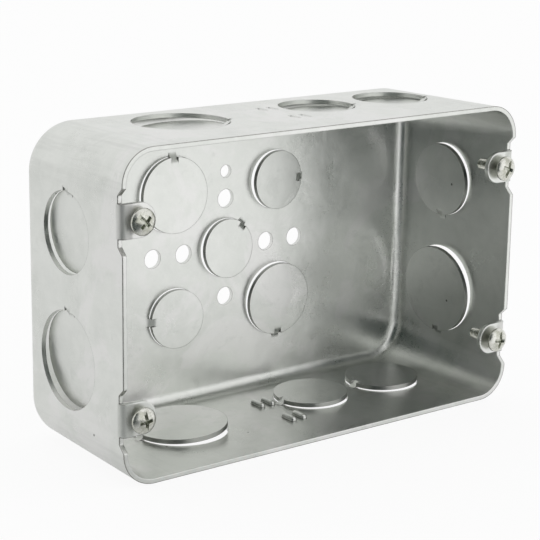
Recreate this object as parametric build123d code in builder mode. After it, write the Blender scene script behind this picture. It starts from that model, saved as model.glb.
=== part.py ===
from build123d import *
from math import cos, radians, sin
import os

# Two-gang switch box: one steel sheet drawn into a deep tray, with pressed knockouts, bent-in cover ears and
# four cover screws. Millimetres, +Z up. The box stands on its lower long wall and opens towards -Y.
# The origin is on the outer face of the lower wall, half way along it and half way through the depth.

# Shell, outside sizes
WIDTH = 173.0
HEIGHT = 112.5
DEPTH = 62.0
THICKNESS = 1.6
CORNER_AT_RIM = 12.0
CORNER_AT_BACK = 17.2
BACK_EDGE_RADIUS = 5.9

# Knockouts: a disc pressed inwards, clear past the sheet, and held by one stretched tab. The disc leans on
# its tab, so its far side goes in deeper.
HALF_INCH_DISC = 11.1
THREE_QUARTER_DISC = 14.0
ONE_INCH_DISC = 17.0
HALF_INCH_LEAN = 3.0
THREE_QUARTER_LEAN = 2.2
ONE_INCH_LEAN = 3.4
SHEAR_CLEARANCE = 0.1
PRESS_GAP = 0.4
TAB_WIDTH = 3.0
TAB_IN_DISC = 2.6
TAB_IN_WALL = 2.0

# Back panel pattern, measured from its own middle, which lies a little off the panel's
PATTERN_X = -2.2
PATTERN_Z = 1.7
THREE_QUARTER_SPREAD_X = 24.0
THREE_QUARTER_SPREAD_Z = 22.9
HALF_INCH_SPREAD_X = 23.0
HALF_INCH_SPREAD_Z = 23.5
MIDDLE_TAB_ANGLE = 50.0
FIXING_HOLE_RADIUS = 3.5
INNER_HOLES_X = 18.9
OUTER_HOLES_X = 32.5
HOLES_Z = 18.7
GROUND_HOLE_RADIUS = 2.4
GROUND_HOLE_Z = 28.9

# Long walls, top and bottom alike: two 3/4 in knockouts at these distances from the right-hand end, and a
# 1 in one at a share of the flat run between the left-hand corner and the pips
LONG_ONE_INCH_SHARE = 0.4364
LONG_ONE_INCH_Y = 3.6
LONG_THREE_QUARTER_FROM_END = 30.5
LONG_THREE_QUARTER_PITCH = 35.3
LONG_THREE_QUARTER_Y = 5.4
TOP_TAB_ANGLE = -20.0

# Short walls: a 3/4 in knockout above a 1 in one, punched a little differently on the two sides
LEFT_THREE_QUARTER_FROM_TOP = 32.9
LEFT_ONE_INCH_FROM_BOTTOM = 35.7
LEFT_KNOCKOUTS_Y = 3.2
RIGHT_THREE_QUARTER_FROM_TOP = 33.9
RIGHT_ONE_INCH_FROM_BOTTOM = 34.8
RIGHT_KNOCKOUTS_Y = 4.6

# Locating pips pressed inwards on the long walls, two pairs on each, with sloping dents behind them
PIP_LENGTH = 7.0
PIP_WIDTH = 2.6
PIP_HEIGHT = 1.7
PIP_EDGE_RADIUS = 1.25
DENT_MARGIN = 0.3
DENT_TAPER = 22.0
PIP_PITCH = 4.7
PIPS_FROM_KNOCKOUT = 19.9
FRONT_PIPS_Y = -9.8
REAR_PIPS_Y = 8.9

# Cover ears: strips of the short walls, bent inwards behind the rim, each in a notch with sloping ends
EAR_FROM_LONG_WALL = 23.3
EAR_WIDTH = 11.5
EAR_REACH = 13.1
EAR_SETBACK = 0.6
EAR_BEND_RADIUS = 2.0
NOTCH_FLAT = 2.6
NOTCH_SLOPE = 2.5

# Cover screws, No. 8-32 by 1/2 in, turned part of the way into the ears
SCREW_FROM_SHORT_WALL = 6.6
SCREW_RADIUS = 2.08
SCREW_LENGTH = 12.7
SCREW_TIP = 0.7
SCREW_STAND_OFF = 1.9
THREAD_CLEARANCE = 0.04
HEAD_RADIUS = 4.5
HEAD_HEIGHT = 2.7
CROWN_RADIUS = 1.4
SLOT_WIDTH = 1.1
SLOT_DEPTH = 1.0
CROSS_SPAN = 4.8
CROSS_DEPTH = 1.7
CROSS_TAPER = 12.0

# Direction of each screw's slot, turned from +X towards +Z
SLOT_ANGLES = {
    "upper_left": 135.0,
    "upper_right": 70.0,
    "lower_left": 95.0,
    "lower_right": 80.0,
}

# Planes of the rim, the back and the middle, and the directions that the tabs point in
FRONT = -DEPTH / 2
BACK = DEPTH / 2
MIDDLE = HEIGHT / 2
SIDE = WIDTH / 2
LEFTWARDS = Vector(-1, 0, 0)
RIGHTWARDS = Vector(1, 0, 0)
FORWARDS = Vector(0, -1, 0)
UPWARDS = Vector(0, 0, 1)
DOWNWARDS = Vector(0, 0, -1)

PRESS_DEPTH = THICKNESS + PRESS_GAP
EAR_LEVELS = {"lower": EAR_FROM_LONG_WALL, "upper": HEIGHT - EAR_FROM_LONG_WALL}
EAR_FRONT = FRONT + EAR_SETBACK
EAR_ROOT = EAR_FRONT + EAR_BEND_RADIUS
SCREW_X = SIDE - SCREW_FROM_SHORT_WALL
HEAD_SEAT = EAR_FRONT - SCREW_STAND_OFF


def corner_radius(distance_from_rim):
    """Outer corner radius, which grows evenly from the rim to the back."""
    return CORNER_AT_RIM + (CORNER_AT_BACK - CORNER_AT_RIM) * distance_from_rim / DEPTH


def seat(centre, inwards, tab_direction):
    """Plane on the outer face of a wall: local Z goes into the box and local X towards the tab."""
    return Plane(origin=centre, x_dir=tab_direction, z_dir=inwards)


def back_seat(x, z, tab_direction):
    return seat((PATTERN_X + x, BACK, MIDDLE + PATTERN_Z + z), FORWARDS, tab_direction)


def short_wall_seat(side, y, z, tab_direction):
    return seat((side * SIDE, y, z), (-side, 0, 0), tab_direction)


def top_seat(x, y):
    tab_direction = Vector(cos(radians(TOP_TAB_ANGLE)), sin(radians(TOP_TAB_ANGLE)), 0)
    return seat((x, y, HEIGHT), DOWNWARDS, tab_direction)


def bottom_seat(x, y):
    return seat((x, y, 0), UPWARDS, LEFTWARDS)


# Places along the long walls, measured from the right-hand end to the left
long_end_x = SIDE - LONG_THREE_QUARTER_FROM_END
long_middle_x = long_end_x - LONG_THREE_QUARTER_PITCH
pips_x = long_middle_x - PIPS_FROM_KNOCKOUT
left_run_start = CORNER_AT_BACK - SIDE
left_run_end = pips_x - (PIP_PITCH + PIP_WIDTH) / 2
long_one_inch_x = left_run_start + LONG_ONE_INCH_SHARE * (left_run_end - left_run_start)

middle_tab = Vector(cos(radians(MIDDLE_TAB_ANGLE)), 0, sin(radians(MIDDLE_TAB_ANGLE)))
half_inch_seats = [
    back_seat(0, 0, middle_tab),
    back_seat(HALF_INCH_SPREAD_X, HALF_INCH_SPREAD_Z, RIGHTWARDS),
    back_seat(-HALF_INCH_SPREAD_X, -HALF_INCH_SPREAD_Z, LEFTWARDS),
]
three_quarter_seats = [
    back_seat(-THREE_QUARTER_SPREAD_X, THREE_QUARTER_SPREAD_Z, UPWARDS),
    back_seat(THREE_QUARTER_SPREAD_X, -THREE_QUARTER_SPREAD_Z, DOWNWARDS),
    top_seat(long_middle_x, LONG_THREE_QUARTER_Y),
    top_seat(long_end_x, LONG_THREE_QUARTER_Y),
    bottom_seat(long_middle_x, LONG_THREE_QUARTER_Y),
    bottom_seat(long_end_x, LONG_THREE_QUARTER_Y),
    short_wall_seat(-1, LEFT_KNOCKOUTS_Y, HEIGHT - LEFT_THREE_QUARTER_FROM_TOP, UPWARDS),
    short_wall_seat(1, RIGHT_KNOCKOUTS_Y, HEIGHT - RIGHT_THREE_QUARTER_FROM_TOP, DOWNWARDS),
]
one_inch_seats = [
    top_seat(long_one_inch_x, LONG_ONE_INCH_Y),
    bottom_seat(long_one_inch_x, LONG_ONE_INCH_Y),
    short_wall_seat(-1, LEFT_KNOCKOUTS_Y, LEFT_ONE_INCH_FROM_BOTTOM, UPWARDS),
    short_wall_seat(1, RIGHT_KNOCKOUTS_Y, RIGHT_ONE_INCH_FROM_BOTTOM, DOWNWARDS),
]


def leaning_seat(place, tab_start, lean):
    """Plane on the outer face of a pressed disc, turned about the place where the disc meets its tab."""
    x_dir = place.x_dir * cos(radians(lean)) - place.z_dir * sin(radians(lean))
    z_dir = place.z_dir * cos(radians(lean)) + place.x_dir * sin(radians(lean))
    hinge = place.origin + place.x_dir * tab_start + place.z_dir * PRESS_DEPTH
    return Plane(origin=hinge - x_dir * tab_start, x_dir=x_dir, z_dir=z_dir)


def press_knockouts(seats, disc_radius, lean):
    """Cut the holes, set the discs inwards and join each one to its wall by a stretched tab."""
    tab_start = disc_radius - TAB_IN_DISC
    tab_end = disc_radius + TAB_IN_WALL
    tab_middle = (tab_start + tab_end) / 2
    with BuildSketch(*seats) as holes:
        Circle(disc_radius + SHEAR_CLEARANCE)
        with Locations((tab_middle, 0)):
            Rectangle(tab_end - tab_start, TAB_WIDTH)
    extrude(holes.sketch, amount=PRESS_DEPTH, mode=Mode.SUBTRACT)
    with BuildSketch(*[leaning_seat(place, tab_start, lean) for place in seats]) as discs:
        Circle(disc_radius)
        with Locations((tab_middle, 0)):
            Rectangle(tab_end - tab_start, TAB_WIDTH, mode=Mode.SUBTRACT)
    extrude(discs.sketch, amount=THICKNESS)
    outer_corner = Vector(tab_start, PRESS_DEPTH)
    inner_corner = outer_corner + Vector(sin(radians(lean)), cos(radians(lean))) * THICKNESS
    along_disc = Vector(cos(radians(lean)), -sin(radians(lean)))
    along_wall = Vector(1, 0)
    sections = [Plane(place.origin, place.x_dir, place.x_dir.cross(place.z_dir)) for place in seats]
    with BuildSketch(*sections) as tabs:
        with BuildLine():
            Spline(outer_corner, (tab_end, 0), tangents=(along_disc, along_wall))
            Line((tab_end, 0), (tab_end, THICKNESS))
            Spline((tab_end, THICKNESS), inner_corner, tangents=(-along_wall, -along_disc))
            Line(inner_corner, outer_corner)
        make_face()
    extrude(tabs.sketch, amount=TAB_WIDTH / 2, both=True)


def raised_pip(place):
    """Round-topped pip that goes through the wall from its outer face."""
    with BuildPart() as pip:
        with BuildSketch(place):
            SlotOverall(PIP_LENGTH, PIP_WIDTH)
        extrude(amount=THICKNESS + PIP_HEIGHT)
        fillet(edges().group_by(Axis(place.origin, place.z_dir))[-1], PIP_EDGE_RADIUS)
    return pip.part


def drawn_form(inset):
    """Solid form of the tray, drawn in by inset on every side but the open front."""
    with BuildPart() as form:
        for plane_y, corner in ((FRONT, CORNER_AT_RIM), (BACK - inset, corner_radius(DEPTH - inset))):
            with BuildSketch(Plane.XZ.offset(-plane_y)):
                with Locations((0, MIDDLE)):
                    RectangleRounded(WIDTH - 2 * inset, HEIGHT - 2 * inset, corner - inset)
        loft(ruled=True)
        fillet(faces().sort_by(Axis.Y)[-1].edges(), BACK_EDGE_RADIUS - inset)
    return form.part


outer_form = drawn_form(0)
cavity_form = drawn_form(THICKNESS)
pip_seats = [
    Plane(origin=(x, y, z), x_dir=(0, 1, 0), z_dir=inwards)
    for x in (pips_x - PIP_PITCH / 2, pips_x + PIP_PITCH / 2)
    for y in (FRONT_PIPS_Y, REAR_PIPS_Y)
    for z, inwards in ((0, UPWARDS), (HEIGHT, DOWNWARDS))
]
pips = [raised_pip(place) for place in pip_seats]

# The box: one sheet with its knockouts, pips, ears and holes
with BuildPart() as switch_box_body:
    add(outer_form)
    add(cavity_form, mode=Mode.SUBTRACT)

    press_knockouts(half_inch_seats, HALF_INCH_DISC, HALF_INCH_LEAN)
    press_knockouts(three_quarter_seats, THREE_QUARTER_DISC, THREE_QUARTER_LEAN)
    press_knockouts(one_inch_seats, ONE_INCH_DISC, ONE_INCH_LEAN)

    # Pips, with the punch's dents behind them
    add(pips)
    with BuildSketch(*pip_seats):
        SlotOverall(PIP_LENGTH - 2 * DENT_MARGIN, PIP_WIDTH - 2 * DENT_MARGIN)
    extrude(amount=PIP_HEIGHT, taper=DENT_TAPER, mode=Mode.SUBTRACT)

    # Round holes of the back panel
    with BuildSketch(Plane.XZ.offset(-BACK)):
        with Locations((PATTERN_X, MIDDLE + PATTERN_Z)):
            with Locations(
                (-INNER_HOLES_X, 0),
                (INNER_HOLES_X, 0),
                (-OUTER_HOLES_X, 0),
                (OUTER_HOLES_X, 0),
                (0, HOLES_Z),
                (0, -HOLES_Z),
            ):
                Circle(FIXING_HOLE_RADIUS)
            with Locations((0, GROUND_HOLE_Z)):
                Circle(GROUND_HOLE_RADIUS)
    extrude(amount=THICKNESS, mode=Mode.SUBTRACT)

    # Rim notches, cut through both short walls at once
    notch_half = EAR_WIDTH / 2 + NOTCH_FLAT
    with BuildSketch(Plane.YZ):
        for level in EAR_LEVELS.values():
            Polygon(
                (FRONT, level - notch_half - NOTCH_SLOPE),
                (EAR_ROOT, level - notch_half),
                (EAR_ROOT, level + notch_half),
                (FRONT, level + notch_half + NOTCH_SLOPE),
                align=None,
            )
    extrude(amount=WIDTH, both=True, mode=Mode.SUBTRACT)

    # Bends of the ears, as quarter rings on the edges that the notches leave
    with BuildSketch(*[Plane.XY.offset(level - EAR_WIDTH / 2) for level in EAR_LEVELS.values()]):
        with Locations((SIDE - EAR_BEND_RADIUS, EAR_ROOT)):
            Circle(EAR_BEND_RADIUS)
            Circle(EAR_BEND_RADIUS - THICKNESS, mode=Mode.SUBTRACT)
            Rectangle(
                EAR_BEND_RADIUS, EAR_BEND_RADIUS, align=(Align.MIN, Align.MAX), mode=Mode.INTERSECT
            )
        mirror(about=Plane.YZ)
    extrude(amount=EAR_WIDTH)

    # Flat, round-ended ears with their screw holes
    ear_end_x = SIDE - EAR_REACH + EAR_WIDTH / 2
    ear_flat = SIDE - EAR_BEND_RADIUS - ear_end_x
    with BuildSketch(Plane.XZ.offset(-EAR_FRONT)):
        for level in EAR_LEVELS.values():
            with Locations((ear_end_x, level)):
                Circle(EAR_WIDTH / 2)
                Rectangle(ear_flat, EAR_WIDTH, align=(Align.MIN, Align.CENTER))
            with Locations((SCREW_X, level)):
                Circle(SCREW_RADIUS + THREAD_CLEARANCE, mode=Mode.SUBTRACT)
        mirror(about=Plane.YZ)
    extrude(amount=-THICKNESS)
switch_box_body.part.label = "switch_box_body"

os.makedirs("parts", exist_ok=True)
export_step(switch_box_body.part, "parts/switch_box_body.step")

# Cover screws: pan head with a slot and a cross recess, standing a little proud of the ears
for corner_name, slot_angle in SLOT_ANGLES.items():
    end, side = corner_name.split("_")
    screw_x = -SCREW_X if side == "left" else SCREW_X
    slot_direction = Vector(cos(radians(slot_angle)), 0, sin(radians(slot_angle)))
    head_seat = Plane(origin=(screw_x, HEAD_SEAT, EAR_LEVELS[end]), x_dir=slot_direction, z_dir=FORWARDS)
    with BuildPart() as cover_screw:
        with BuildSketch(head_seat):
            Circle(HEAD_RADIUS)
        extrude(amount=HEAD_HEIGHT)
        fillet(edges().sort_by(Axis.Y)[0], CROWN_RADIUS)
        with BuildSketch(head_seat):
            Circle(SCREW_RADIUS)
        extrude(amount=-SCREW_LENGTH)
        chamfer(edges().sort_by(Axis.Y)[-1], SCREW_TIP)
        with BuildSketch(head_seat.offset(HEAD_HEIGHT)):
            Rectangle(2 * HEAD_RADIUS, SLOT_WIDTH)
        extrude(amount=-SLOT_DEPTH, mode=Mode.SUBTRACT)
        with BuildSketch(head_seat.offset(HEAD_HEIGHT)):
            Rectangle(CROSS_SPAN, SLOT_WIDTH)
            Rectangle(SLOT_WIDTH, CROSS_SPAN)
        extrude(amount=-CROSS_DEPTH, taper=CROSS_TAPER, mode=Mode.SUBTRACT)
    screw_name = f"cover_screw_{corner_name}"
    cover_screw.part.label = screw_name
    export_step(cover_screw.part, f"parts/{screw_name}.step")
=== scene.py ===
from math import cos, pi, radians, sin

import bmesh
import bpy
from mathutils import Matrix, Vector


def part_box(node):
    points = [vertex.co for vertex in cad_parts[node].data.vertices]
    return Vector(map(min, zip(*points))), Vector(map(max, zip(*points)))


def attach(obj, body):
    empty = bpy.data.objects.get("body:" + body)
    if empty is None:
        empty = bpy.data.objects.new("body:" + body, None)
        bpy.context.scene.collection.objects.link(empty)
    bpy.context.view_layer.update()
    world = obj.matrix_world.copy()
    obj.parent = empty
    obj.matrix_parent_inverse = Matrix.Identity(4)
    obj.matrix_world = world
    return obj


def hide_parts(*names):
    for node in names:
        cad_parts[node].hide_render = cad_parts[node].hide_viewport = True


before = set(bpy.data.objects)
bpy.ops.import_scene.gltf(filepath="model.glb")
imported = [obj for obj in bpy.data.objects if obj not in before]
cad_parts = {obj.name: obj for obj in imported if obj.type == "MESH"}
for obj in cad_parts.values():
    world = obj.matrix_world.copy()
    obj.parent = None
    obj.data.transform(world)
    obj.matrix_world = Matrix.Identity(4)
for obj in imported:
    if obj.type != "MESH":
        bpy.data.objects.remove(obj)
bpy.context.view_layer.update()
MM = 0.001

# Camera: its place and its axes come from the box's outlines and its knockouts' ellipses
CAMERA_PLACE = Vector((-0.37263, -0.47565, 0.20931))
CAMERA_RIGHT = Vector((0.79235748, -0.60988552, 0.01446615))
CAMERA_DOWN = Vector((-0.13972989, -0.20451608, -0.96883886))
CAMERA_FORWARD = Vector((0.59383935, 0.76564536, -0.24726909))
LENS = 115.21
SENSOR_WIDTH = 36.0
CLIP_START, CLIP_END = 0.01, 20.0

camera_data = bpy.data.cameras.new("camera")
camera_data.sensor_width = SENSOR_WIDTH
camera_data.lens = LENS
camera_data.clip_start = CLIP_START
camera_data.clip_end = CLIP_END
camera = bpy.data.objects.new("camera", camera_data)
turn = Matrix((CAMERA_RIGHT, -CAMERA_DOWN, -CAMERA_FORWARD)).transposed()
camera.matrix_world = Matrix.Translation(CAMERA_PLACE) @ turn.to_4x4()
bpy.context.scene.collection.objects.link(camera)
bpy.context.scene.camera = camera
bpy.context.scene.view_settings.view_transform = "Standard"


# Node helpers. A source is always an output; the other inputs take an output or a plain value.
def new_material(name):
    """A material with its tree and its shader, which the output shows."""
    made = bpy.data.materials.new(name)
    made.use_nodes = True
    tree = made.node_tree
    tree.nodes.clear()
    shader = tree.nodes.new("ShaderNodeBsdfPrincipled")
    output = tree.nodes.new("ShaderNodeOutputMaterial")
    tree.links.new(shader.outputs["BSDF"], output.inputs["Surface"])
    return made, tree, shader


def value_of(tree, socket, given):
    """Link a socket to an output, or set it to a value."""
    if isinstance(given, bpy.types.NodeSocket):
        tree.links.new(given, socket)
    else:
        socket.default_value = given


def math_node(tree, operation, *given):
    node = tree.nodes.new("ShaderNodeMath")
    node.operation = operation
    for socket, item in zip(node.inputs, given):
        value_of(tree, socket, item)
    return node.outputs[0]


def product(tree, first, *others):
    for other in others:
        first = math_node(tree, "MULTIPLY", first, other)
    return first


def vector_node(tree, operation, *given, output="Vector"):
    node = tree.nodes.new("ShaderNodeVectorMath")
    node.operation = operation
    for socket, item in zip(node.inputs, given):
        value_of(tree, socket, item)
    return node.outputs[output]


def along(tree, source, direction):
    """How far the source vector reaches in a direction."""
    return vector_node(tree, "DOT_PRODUCT", source, Vector(direction).normalized(), output="Value")


def sizes_by_axis(tree, source):
    """The X, Y and Z parts of a vector, without their signs."""
    parts = tree.nodes.new("ShaderNodeSeparateXYZ")
    tree.links.new(vector_node(tree, "ABSOLUTE", source), parts.inputs["Vector"])
    return parts.outputs


def stretched(tree, source, scale):
    node = tree.nodes.new("ShaderNodeMapping")
    node.inputs["Scale"].default_value = scale
    tree.links.new(source, node.inputs["Vector"])
    return node.outputs[0]


def noise(tree, source, scale, detail, rough, warp=0.0):
    """Noise from 0 to 1, its scale per metre."""
    node = tree.nodes.new("ShaderNodeTexNoise")
    node.inputs["Scale"].default_value = scale
    node.inputs["Detail"].default_value = detail
    node.inputs["Roughness"].default_value = rough
    node.inputs["Distortion"].default_value = warp
    tree.links.new(source, node.inputs["Vector"])
    return node.outputs["Fac"]


def ramp(tree, source, low, high, out_low=0.0, out_high=1.0):
    """Smooth step from out_low to out_high, where the source goes from low to high."""
    node = tree.nodes.new("ShaderNodeMapRange")
    node.interpolation_type = "SMOOTHSTEP"
    limits = {"From Min": low, "From Max": high, "To Min": out_low, "To Max": out_high}
    for name, number in limits.items():
        node.inputs[name].default_value = number
    tree.links.new(source, node.inputs["Value"])
    return node.outputs["Result"]


def mixed_colour(tree, factor, first, second):
    node = tree.nodes.new("ShaderNodeMix")
    node.data_type = "RGBA"
    value_of(tree, node.inputs["Factor"], factor)
    value_of(tree, node.inputs["A"], first)
    value_of(tree, node.inputs["B"], second)
    return node.outputs["Result"]


def bump(tree, height, distance, normal=None):
    node = tree.nodes.new("ShaderNodeBump")
    node.inputs["Strength"].default_value = 1.0
    node.inputs["Distance"].default_value = distance
    tree.links.new(height, node.inputs["Height"])
    if normal is not None:
        tree.links.new(normal, node.inputs["Normal"])
    return node.outputs["Normal"]


def object_place(tree):
    """Place on the object, in metres."""
    return tree.nodes.new("ShaderNodeTexCoord").outputs["Object"]


def shaded_gaps(tree, tone, colour, distance, closed, opened):
    """The tone, going over to the colour where other surfaces stand within the distance."""
    node = tree.nodes.new("ShaderNodeAmbientOcclusion")
    node.samples = 6
    node.inputs["Distance"].default_value = distance
    light = ramp(tree, node.outputs["AO"], closed, opened, 0.2, 1.0)
    return mixed_colour(tree, light, colour, tone)


# Galvanised sheet: satin zinc in soft clouds.
# A noise is given by its scale, detail, roughness and warp.
CLOUDS = (55.0, 4.0, 0.55, 0.4)
GRAIN = (1900.0, 2.0, 0.6)
NOISE_MIDDLE = (0.3, 0.7)
CLOUD_HEIGHT = 0.25 * MM
GRAIN_HEIGHT = 0.004 * MM
SHEET_ROUGH, SHEET_ROUGH_SPREAD = 0.29, 0.06
GRAIN_ROUGH = (-0.03, 0.05)
ZINC_DARK = (0.67, 0.687, 0.655, 1)
ZINC_LIGHT = (0.75, 0.765, 0.735, 1)
# Blotches, patches and stains on the clouds: each has its noise, the levels of it where the layer
# begins and is full, the share that it takes, and its colour
ZINC_LAYERS = (
    ((160.0, 3.0, 0.6), 0.35, 0.75, 0.4, (0.80, 0.81, 0.78, 1)),
    ((30.0, 5.0, 0.65, 0.8), 0.5, 0.6, 0.6, (0.80, 0.795, 0.785, 1)),
    ((80.0, 5.0, 0.7, 0.5), 0.56, 0.72, 0.3, (0.52, 0.54, 0.51, 1)),
)

# Marks of making, and painted shade in gaps, on the discs' sides and along edges: their colours,
# and the ramps that lay them on
STREAK = (0.48, 0.485, 0.47, 1)
STREAKS = (420.0, 4.0, 0.65)
STREAK_STRETCH = (1.0, 0.06, 1.0)
STREAK_LEVELS = (0.42, 0.75)
STREAK_SHARE, STREAK_SHARE_AT_CORNERS = 0.045, 0.22
SPECK = (0.16, 0.165, 0.15, 1)
SPECK_CELLS_PER_METRE = 95.0
SPECK_EDGE = (0.035, 0.06, 1.0, 0.0)
CELLS_WITHOUT_SPECK = 0.8
GAP = (0.06, 0.065, 0.06, 1)
GAP_WIDTH = 0.5 * MM
GAP_LIGHT = (0.5, 0.93)
# Colour of the discs' sides: matt sheared steel with painted shade
DISC_SIDE = (0.36, 0.365, 0.35, 1)
# From the part of the true normal along the wall's own axis: a disc's side has none of it
DISC_SIDE_TURN = (0.3, 0.5, 0.8, 0.0)
# Painted shade: the colour of thin dark lines along the cut edges
EDGE_LINE_SHADE = (0.17, 0.155, 0.14, 1)
# From the cosine between the rounded and the true normal: it is 1 away from an edge
RIM_LINE = (0.88, 0.995, 0.85, 0.0)
FINE_LINE = (0.84, 0.99, 0.6, 0.0)
OUTER_CORNER = (0.12, 0.35)
EAR_BEND_ROUGH = 0.35

# Zones of the box, by distance from its middle: where a ramp begins and where it ends
MID_HEIGHT = 56.25 * MM
CORNERS = {"X": (55 * MM, 75 * MM), "Z": (35 * MM, 48 * MM)}
RIM = (27 * MM, 28 * MM)
EAR_BEND_SIDE = (81.5 * MM, 83 * MM)
EAR_BEND_BEGINS = (26.9 * MM, 27.3 * MM)
EAR_BEND_FADES = (38.6 * MM, 39 * MM)
# Across each axis: the inner face of the walls, and how far the knockouts spread along that axis
INNER_WALLS = {"X": (84.9 * MM, 76 * MM), "Y": (29.4 * MM, 23 * MM), "Z": (54.65 * MM, 44 * MM)}
# A disc's side is darker, matt sheared steel with painted shade, from about 3 mm inside the inner
# face to under 1 mm from it
DISC_SIDE_BEGINS = (3.4 * MM, 3.0 * MM)
DISC_SIDE_FADES = (0.8 * MM, 0.5 * MM)

EDGE_RADIUS = 0.3 * MM
RIM_EXTRA_RADIUS = 0.42 * MM


def drawn_streaks(tree, place, sizes):
    """Streaks of drawing run from front to back, strongest where the sheet goes round a corner."""
    streaks = noise(tree, stretched(tree, place, STREAK_STRETCH), *STREAKS)
    corner = product(tree, *(ramp(tree, sizes[axis], *zone) for axis, zone in CORNERS.items()))
    share = math_node(tree, "MULTIPLY_ADD", corner, STREAK_SHARE_AT_CORNERS, STREAK_SHARE)
    return product(tree, share, ramp(tree, streaks, *STREAK_LEVELS))


def small_specks(tree, place):
    """Round specks, one in every fifth cell."""
    cells = tree.nodes.new("ShaderNodeTexVoronoi")
    cells.inputs["Scale"].default_value = SPECK_CELLS_PER_METRE
    tree.links.new(place, cells.inputs["Vector"])
    near = ramp(tree, cells.outputs["Distance"], *SPECK_EDGE)
    chance = tree.nodes.new("ShaderNodeSeparateColor")
    tree.links.new(cells.outputs["Color"], chance.inputs["Color"])
    few = math_node(tree, "GREATER_THAN", chance.outputs["Red"], CELLS_WITHOUT_SPECK)
    return product(tree, near, few)


def disc_sides(tree, tone, sizes, flat):
    """The tone with darker sides on the discs, matt sheared steel with painted shade, next to
    their bright faces.
    """
    facing = sizes_by_axis(tree, flat)
    within = {
        axis: ramp(tree, sizes[axis], end, end + MM, 1.0, 0.0)
        for axis, (_, end) in INNER_WALLS.items()
    }
    for axis, (wall, _) in INNER_WALLS.items():
        # Painted shade, with matt sheared steel, on the side of each disc
        matt_and_shaded = product(
            tree,
            ramp(tree, facing[axis], *DISC_SIDE_TURN),
            ramp(tree, sizes[axis], *(wall - depth for depth in DISC_SIDE_BEGINS)),
            ramp(tree, sizes[axis], *(wall - depth for depth in DISC_SIDE_FADES), 1.0, 0.0),
            *(within[other] for other in INNER_WALLS if other != axis),
        )
        tone = mixed_colour(tree, matt_and_shaded, tone, DISC_SIDE)
    return tone


def painted_edge_shade(tree, centred, rounded, flat, at_rim):
    """A thin dark line of painted shade along the cut rim's outer corner, and a finer one on other
    cut edges.
    """
    outwards = vector_node(tree, "NORMALIZE", vector_node(tree, "MULTIPLY", centred, (1, 0, 1)))
    outwards = vector_node(tree, "DOT_PRODUCT", rounded, outwards, output="Value")
    turned = vector_node(tree, "DOT_PRODUCT", rounded, flat, output="Value")
    rim_line = ramp(tree, turned, *RIM_LINE)
    rim_line = product(tree, rim_line, ramp(tree, outwards, *OUTER_CORNER), at_rim)
    off_rim = math_node(tree, "SUBTRACT", 1.0, at_rim)
    fine_line = product(tree, ramp(tree, turned, *FINE_LINE), off_rim)
    return math_node(tree, "MAXIMUM", rim_line, fine_line)


def ear_bends(tree, sizes, at_rim):
    """What the ears' stretched bends add to the roughness."""
    return product(
        tree,
        at_rim,
        ramp(tree, sizes["X"], *EAR_BEND_SIDE),
        ramp(tree, sizes["Z"], *EAR_BEND_BEGINS),
        ramp(tree, sizes["Z"], *EAR_BEND_FADES, EAR_BEND_ROUGH, 0.0),
    )


def galvanised_steel():
    made, tree, shader = new_material("galvanised_steel")
    place = object_place(tree)
    centred = vector_node(tree, "ADD", place, (0, 0, -MID_HEIGHT))
    sizes = sizes_by_axis(tree, centred)
    clouds = noise(tree, place, *CLOUDS)
    grain = noise(tree, place, *GRAIN)

    tone = mixed_colour(tree, ramp(tree, clouds, *NOISE_MIDDLE), ZINC_DARK, ZINC_LIGHT)
    for texture, begins, full, share, colour in ZINC_LAYERS:
        layer = ramp(tree, noise(tree, place, *texture), begins, full, 0.0, share)
        tone = mixed_colour(tree, layer, tone, colour)
    tone = mixed_colour(tree, drawn_streaks(tree, place, sizes), tone, STREAK)
    tone = mixed_colour(tree, small_specks(tree, place), tone, SPECK)
    # Shade in narrow gaps: round the discs, under the tabs and beside the folds
    tone = shaded_gaps(tree, tone, GAP, GAP_WIDTH, *GAP_LIGHT)

    # Edges are a little rounded, the rim more than the discs
    at_rim = ramp(tree, along(tree, place, (0, -1, 0)), *RIM)
    edge = tree.nodes.new("ShaderNodeBevel")
    edge.samples = 8
    radius = math_node(tree, "MULTIPLY_ADD", at_rim, RIM_EXTRA_RADIUS, EDGE_RADIUS)
    tree.links.new(radius, edge.inputs["Radius"])
    rounded = edge.outputs["Normal"]
    flat = tree.nodes.new("ShaderNodeNewGeometry").outputs["True Normal"]

    tone = disc_sides(tree, tone, sizes, flat)
    # Painted shade along the edges, as thin dark lines
    tone = mixed_colour(tree, painted_edge_shade(tree, centred, rounded, flat, at_rim), tone, EDGE_LINE_SHADE)
    tree.links.new(tone, shader.inputs["Base Color"])

    rough = ramp(tree, clouds, *NOISE_MIDDLE, SHEET_ROUGH, SHEET_ROUGH + SHEET_ROUGH_SPREAD)
    rough = math_node(tree, "ADD", rough, ramp(tree, grain, *NOISE_MIDDLE, *GRAIN_ROUGH))
    rough = math_node(tree, "ADD", rough, ear_bends(tree, sizes, at_rim))
    tree.links.new(rough, shader.inputs["Roughness"])
    shader.inputs["Metallic"].default_value = 1.0

    shape = bump(tree, clouds, CLOUD_HEIGHT, rounded)
    shape = bump(tree, grain, GRAIN_HEIGHT, shape)
    tree.links.new(shape, shader.inputs["Normal"])
    return made


# Zinc plate of the screws, brighter than the sheet, with painted shade, dark and greenish, in the
# slot and the cross
PLATE_DARK = (0.50, 0.505, 0.44, 1)
PLATE_LIGHT = (0.78, 0.78, 0.73, 1)
# Colour of the painted shade in the screws' hollows
PLATE_HOLLOW_SHADE = (0.15, 0.18, 0.11, 1)
PLATE_CLOUDS = (420.0, 3.0, 0.6)
PLATE_CLOUD_LEVELS = (0.35, 0.65)
PLATE_GRAIN = (3200.0, 2.0, 0.6)
PLATE_GRAIN_HEIGHT = 0.006 * MM
PLATE_HOLLOW_WIDTH = 1.5 * MM
PLATE_HOLLOW_LIGHT = (0.3, 0.8)
PLATE_ROUGH = (0.18, 0.3)
PLATE_METALLIC = 0.87


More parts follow.
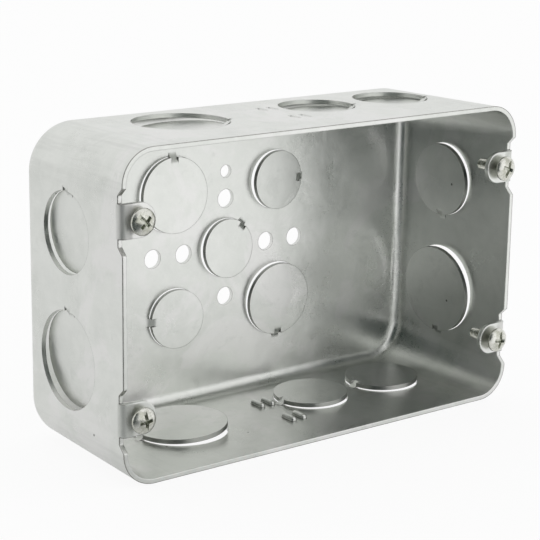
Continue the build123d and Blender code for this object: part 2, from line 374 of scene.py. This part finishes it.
def zinc_plate():
    made, tree, shader = new_material("zinc_plated_steel")
    place = object_place(tree)
    clouds = noise(tree, place, *PLATE_CLOUDS)
    grain = noise(tree, place, *PLATE_GRAIN)
    tone = mixed_colour(tree, ramp(tree, clouds, *PLATE_CLOUD_LEVELS), PLATE_DARK, PLATE_LIGHT)
    # Painted shade in the slot, the cross and other hollows of the screw
    tone = shaded_gaps(tree, tone, PLATE_HOLLOW_SHADE, PLATE_HOLLOW_WIDTH, *PLATE_HOLLOW_LIGHT)
    tree.links.new(tone, shader.inputs["Base Color"])
    tree.links.new(ramp(tree, clouds, *NOISE_MIDDLE, *PLATE_ROUGH), shader.inputs["Roughness"])
    shader.inputs["Metallic"].default_value = PLATE_METALLIC
    tree.links.new(bump(tree, grain, PLATE_GRAIN_HEIGHT), shader.inputs["Normal"])
    return made


box_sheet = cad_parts["switch_box_body"].data
box_sheet.materials.clear()
box_sheet.materials.append(galvanised_steel())
zinc = zinc_plate()

# Cover screws, in millimetres: a pan head with slot and cross, and a real thread
HEAD_RADIUS = 4.5
HEAD_HEIGHT = 2.7
# Radius and height of the head's rings, from the crown down to the seat
HEAD_PROFILE = (
    (1.0, 2.63), (2.0, 2.42), (2.9, 2.08), (3.6, 1.7), (4.1, 1.34),
    (4.4, 1.06), (4.5, 0.85), (4.5, 0.25), (4.3, 0.0),
)
HEAD_AROUND = 96
SLOT_WIDTH = 1.3
SLOT_LENGTH = 2 * HEAD_RADIUS + 2
SLOT_DEPTH = 1.0
SLOT_TAPER = 0.05
CROSS_SPAN = 5.4
CROSS_DEPTH = 1.7
CROSS_TAPER = 0.45
CUTTER_ABOVE = 0.6
SIDE_TAPER_SHARE = 0.3
SOFT_EDGE = 0.09
SOFT_ANGLE = radians(32)
SMOOTH_ANGLE = radians(35)

SCREW_LENGTH = 12.7
THREAD_PITCH = 0.794
THREAD_AROUND = 40
THREAD_ROWS_PER_TURN = 10
CREST = 2.08
ROOT = 1.62
# Share of a flank that is flat at the root, and as much at the crest
FLANK_FLAT = 0.14
NECK = 0.5
NECK_RUN_OUT = 0.8
TIP = 0.7
TIP_TAPER = 0.35
TIP_CREST_SHARE = 0.2

MERGE_DISTANCE = 1e-7
# Degrees by which each slot is turned from level, anticlockwise as seen from the front
SLOT_ANGLES = {"upper_left": 135.0, "upper_right": 70.0, "lower_left": 95.0, "lower_right": 80.0}


def mesh_of(name, verts, faces):
    """A mesh in metres from points in millimetres, with its faces turned outwards."""
    made = bpy.data.meshes.new(name)
    made.from_pydata([Vector(v) * MM for v in verts], [], faces)
    made.validate()
    work = bmesh.new()
    work.from_mesh(made)
    bmesh.ops.remove_doubles(work, verts=work.verts, dist=MERGE_DISTANCE)
    bmesh.ops.recalc_face_normals(work, faces=work.faces)
    work.to_mesh(made)
    work.free()
    return made


def linked_object(name, mesh):
    made = bpy.data.objects.new(name, mesh)
    bpy.context.scene.collection.objects.link(made)
    return made


def band(first, second, around):
    """Quads between two rings of points, from the numbers of their first points."""
    return [
        (first + i, second + i, second + (i + 1) % around, first + (i + 1) % around)
        for i in range(around)
    ]


def head_mesh():
    """Closed pan head, its seat at z = 0 and its crown towards +Z."""
    around = HEAD_AROUND
    verts = [(0, 0, HEAD_HEIGHT)]
    for r, h in HEAD_PROFILE:
        turns = (2 * pi * i / around for i in range(around))
        verts += [(r * cos(angle), r * sin(angle), h) for angle in turns]
    verts.append((0, 0, 0))
    faces = [(0, 1 + i, 1 + (i + 1) % around) for i in range(around)]
    starts = [1 + ring * around for ring in range(len(HEAD_PROFILE))]
    for upper, lower in zip(starts, starts[1:]):
        faces += band(upper, lower, around)
    last = starts[-1]
    faces += [(len(verts) - 1, last + (i + 1) % around, last + i) for i in range(around)]
    return mesh_of("head", verts, faces)


def wedge(length, width, depth, taper):
    """Cutter along X from above the crown: a bar that narrows downwards at its ends and sides."""
    verts = []
    for lift in (CUTTER_ABOVE, -depth):
        x = length / 2 + taper * lift
        y = width / 2 + taper * lift * SIDE_TAPER_SHARE
        z = HEAD_HEIGHT + lift
        verts += [(-x, -y, z), (x, -y, z), (x, y, z), (-x, y, z)]
    faces = [(0, 1, 2, 3), (7, 6, 5, 4), (0, 4, 5, 1), (1, 5, 6, 2), (2, 6, 7, 3), (3, 7, 4, 0)]
    return mesh_of("cutter", verts, faces)


def apply_all(target):
    """Replace an object's mesh by what its modifiers make of it."""
    bpy.context.view_layer.update()
    graph = bpy.context.evaluated_depsgraph_get()
    shaped = bpy.data.meshes.new_from_object(target.evaluated_get(graph))
    target.modifiers.clear()
    target.data = shaped


def cut(target, cutter_mesh, angle=0.0):
    cutter = linked_object("cutter", cutter_mesh)
    cutter.rotation_euler = (0, 0, angle)
    bpy.context.view_layer.update()
    step = target.modifiers.new("cut", "BOOLEAN")
    step.operation = "DIFFERENCE"
    step.solver = "EXACT"
    step.object = cutter
    apply_all(target)
    bpy.data.objects.remove(cutter)


def thread_radius(depth, turn_share):
    """Radius of the shank at a depth under the head and a share of a turn round it."""
    phase = (depth / THREAD_PITCH - turn_share) % 1.0
    ridge = 1.0 - abs(2.0 * phase - 1.0)
    height = min(1.0, max(0.0, (ridge - FLANK_FLAT) / (1.0 - 2.0 * FLANK_FLAT)))
    under_head = min(1.0, max(0.0, (depth - NECK) / NECK_RUN_OUT))
    at_tip = min(1.0, (SCREW_LENGTH - depth) / TIP)
    highest = min(under_head, TIP_CREST_SHARE + (1.0 - TIP_CREST_SHARE) * at_tip)
    return ROOT + (CREST - ROOT) * min(height, highest) - TIP_TAPER * (1.0 - at_tip)


def thread_mesh():
    """Right-hand thread from under the head to its blunt point, as one closed tube along -Z."""
    around = THREAD_AROUND
    rows = int(SCREW_LENGTH / THREAD_PITCH * THREAD_ROWS_PER_TURN)
    verts = []
    for row in range(rows + 1):
        depth = SCREW_LENGTH * row / rows
        for i in range(around):
            r = thread_radius(depth, i / around)
            angle = 2 * pi * i / around
            verts.append((r * cos(angle), r * sin(angle), -depth))
    faces = []
    for row in range(rows):
        faces += band(row * around, (row + 1) * around, around)
    faces.append(tuple(range(around)))
    faces.append(tuple(reversed(range(rows * around, (rows + 1) * around))))
    return mesh_of("thread", verts, faces)


def screw_mesh():
    head = linked_object("head", head_mesh())
    cut(head, wedge(SLOT_LENGTH, SLOT_WIDTH, SLOT_DEPTH, SLOT_TAPER))
    for angle in (0.0, pi / 2):
        cut(head, wedge(CROSS_SPAN, SLOT_WIDTH, CROSS_DEPTH, CROSS_TAPER), angle)
    soften = head.modifiers.new("soften", "BEVEL")
    soften.width = SOFT_EDGE * MM
    soften.segments = 2
    soften.limit_method = "ANGLE"
    soften.angle_limit = SOFT_ANGLE
    apply_all(head)
    joined = bmesh.new()
    joined.from_mesh(head.data)
    joined.from_mesh(thread_mesh())
    made = bpy.data.meshes.new("cover_screw")
    joined.to_mesh(made)
    joined.free()
    bpy.data.objects.remove(head)
    made.shade_smooth()
    made.set_sharp_from_angle(angle=SMOOTH_ANGLE)
    made.materials.append(zinc)
    return made


screw_shape = screw_mesh()
for corner, slot_angle in SLOT_ANGLES.items():
    node = f"cover_screw_{corner}"
    low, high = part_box(node)
    head_seat = Vector(((low.x + high.x) / 2, low.y + HEAD_HEIGHT * MM, (low.z + high.z) / 2))
    screw = linked_object(f"{node}_dressed", screw_shape)
    # The mesh's Z axis goes out of the box (-Y) and its X axis along the slot
    slot_way = Vector((cos(radians(slot_angle)), 0, sin(radians(slot_angle))))
    out_way = Vector((0, -1, 0))
    axes = Matrix((slot_way, out_way.cross(slot_way), out_way)).transposed()
    screw.matrix_world = Matrix.Translation(head_seat) @ axes.to_4x4()
    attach(screw, "root")
    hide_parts(node)

# Floor, a hair below the box
FLOOR_REACH = 6.0
FLOOR_DROP = 0.2 * MM
FLOOR_COLOUR = (0.93, 0.93, 0.93, 1)
FLOOR_ROUGH = 0.9
FLOOR_CORNERS = ((-1, -1), (1, -1), (1, 1), (-1, 1))

floor_mesh = bpy.data.meshes.new("floor")
floor_mesh.from_pydata(
    [(x * FLOOR_REACH, y * FLOOR_REACH, 0) for x, y in FLOOR_CORNERS], [], [(0, 1, 2, 3)]
)
floor = linked_object("floor", floor_mesh)
floor.location.z = -FLOOR_DROP
floor_material, floor_tree, floor_shader = new_material("floor")
floor_shader.inputs["Base Color"].default_value = FLOOR_COLOUR
floor_shader.inputs["Roughness"].default_value = FLOOR_ROUGH
floor_shader.inputs["Specular IOR Level"].default_value = 0.0
floor_mesh.materials.append(floor_material)

# Light: white all round, brightest in front of the box, with a dark room behind the camera.
# A range says where a ramp begins and ends, and for the light also its two strengths.
WHITE = (1.0, 1.0, 1.0, 1)
ROOM = (0.008, 0.022, 0.019, 1)
LIGHT_SIDE = (0.1, -0.99, 0.0)
FLOOR_LIGHT_RANGE = (-0.05, 0.2, 0.93, 1.35)
WORLD_LIGHT_RANGE = (0.6, 0.95, 0.93, 1.2)
ROOM_SIDE = (-0.74, -0.57, 0.35)
ROOM_RANGE = (0.77, 0.92)
# The room's edges on the floor, in reflections: a direction from the box, and where its ramp is
ROOM_FLOOR_EDGES = (
    ((-0.9, -0.43, 0.0), 0.03, 0.16),
    ((0.0, -1.0, 0.0), -0.02, 0.06),
    ((-0.79, 0.61, 0.0), -0.2, -0.15),
)
# Share of the floor's own glow, where the camera sees it and at least in reflections
GLOW_SEEN = 0.91
GLOW_REFLECTED = 0.6


def grey(tree, level):
    """Colour of equal channels from a number."""
    node = tree.nodes.new("ShaderNodeCombineColor")
    for channel in ("Red", "Green", "Blue"):
        tree.links.new(level, node.inputs[channel])
    return node.outputs["Color"]


def studio_colour(tree, source, light_range, room):
    """White light that is brightest on its side, and gives way to the room."""
    lit = ramp(tree, along(tree, source, LIGHT_SIDE), *light_range)
    return mixed_colour(tree, room, grey(tree, lit), ROOM)


def light_path(tree):
    """The Light Path's outputs, and 1 for rays that see a place directly or through glass."""
    path = tree.nodes.new("ShaderNodeLightPath").outputs
    return path, math_node(tree, "MAXIMUM", path["Is Camera Ray"], path["Is Transmission Ray"])


# The floor: a soft white that keeps the shadow, and in reflections it darkens towards the room
path, direct = light_path(floor_tree)
place = object_place(floor_tree)
room = product(
    floor_tree,
    *(ramp(floor_tree, along(floor_tree, place, side), *ends) for side, *ends in ROOM_FLOOR_EDGES),
)
mirrored = studio_colour(floor_tree, place, FLOOR_LIGHT_RANGE, room)
glow = floor_tree.nodes.new("ShaderNodeEmission")
glow_colour = mixed_colour(floor_tree, path["Is Glossy Ray"], WHITE, mirrored)
floor_tree.links.new(glow_colour, glow.inputs["Color"])
seen_share = product(floor_tree, direct, GLOW_SEEN)
mirrored_share = math_node(floor_tree, "MAXIMUM", room, GLOW_REFLECTED)
mirrored_share = product(floor_tree, path["Is Glossy Ray"], mirrored_share)
blend = floor_tree.nodes.new("ShaderNodeMixShader")
floor_tree.links.new(
    math_node(floor_tree, "MAXIMUM", seen_share, mirrored_share), blend.inputs["Fac"]
)
floor_tree.links.new(floor_shader.outputs["BSDF"], blend.inputs[1])
floor_tree.links.new(glow.outputs["Emission"], blend.inputs[2])
floor_output = floor_tree.nodes["Material Output"]
floor_tree.links.new(blend.outputs["Shader"], floor_output.inputs["Surface"])

world = bpy.data.worlds.new("studio")
world.use_nodes = True
bpy.context.scene.world = world
world_tree = world.node_tree
world_tree.nodes.clear()
way = world_tree.nodes.new("ShaderNodeTexCoord").outputs["Generated"]
room = ramp(world_tree, along(world_tree, way, ROOM_SIDE), *ROOM_RANGE)
surround = studio_colour(world_tree, way, WORLD_LIGHT_RANGE, room)
path, direct = light_path(world_tree)
sky = world_tree.nodes.new("ShaderNodeBackground")
sky_colour = mixed_colour(world_tree, direct, surround, WHITE)
world_tree.links.new(sky_colour, sky.inputs["Color"])
world_output = world_tree.nodes.new("ShaderNodeOutputWorld")
world_tree.links.new(sky.outputs["Background"], world_output.inputs["Surface"])
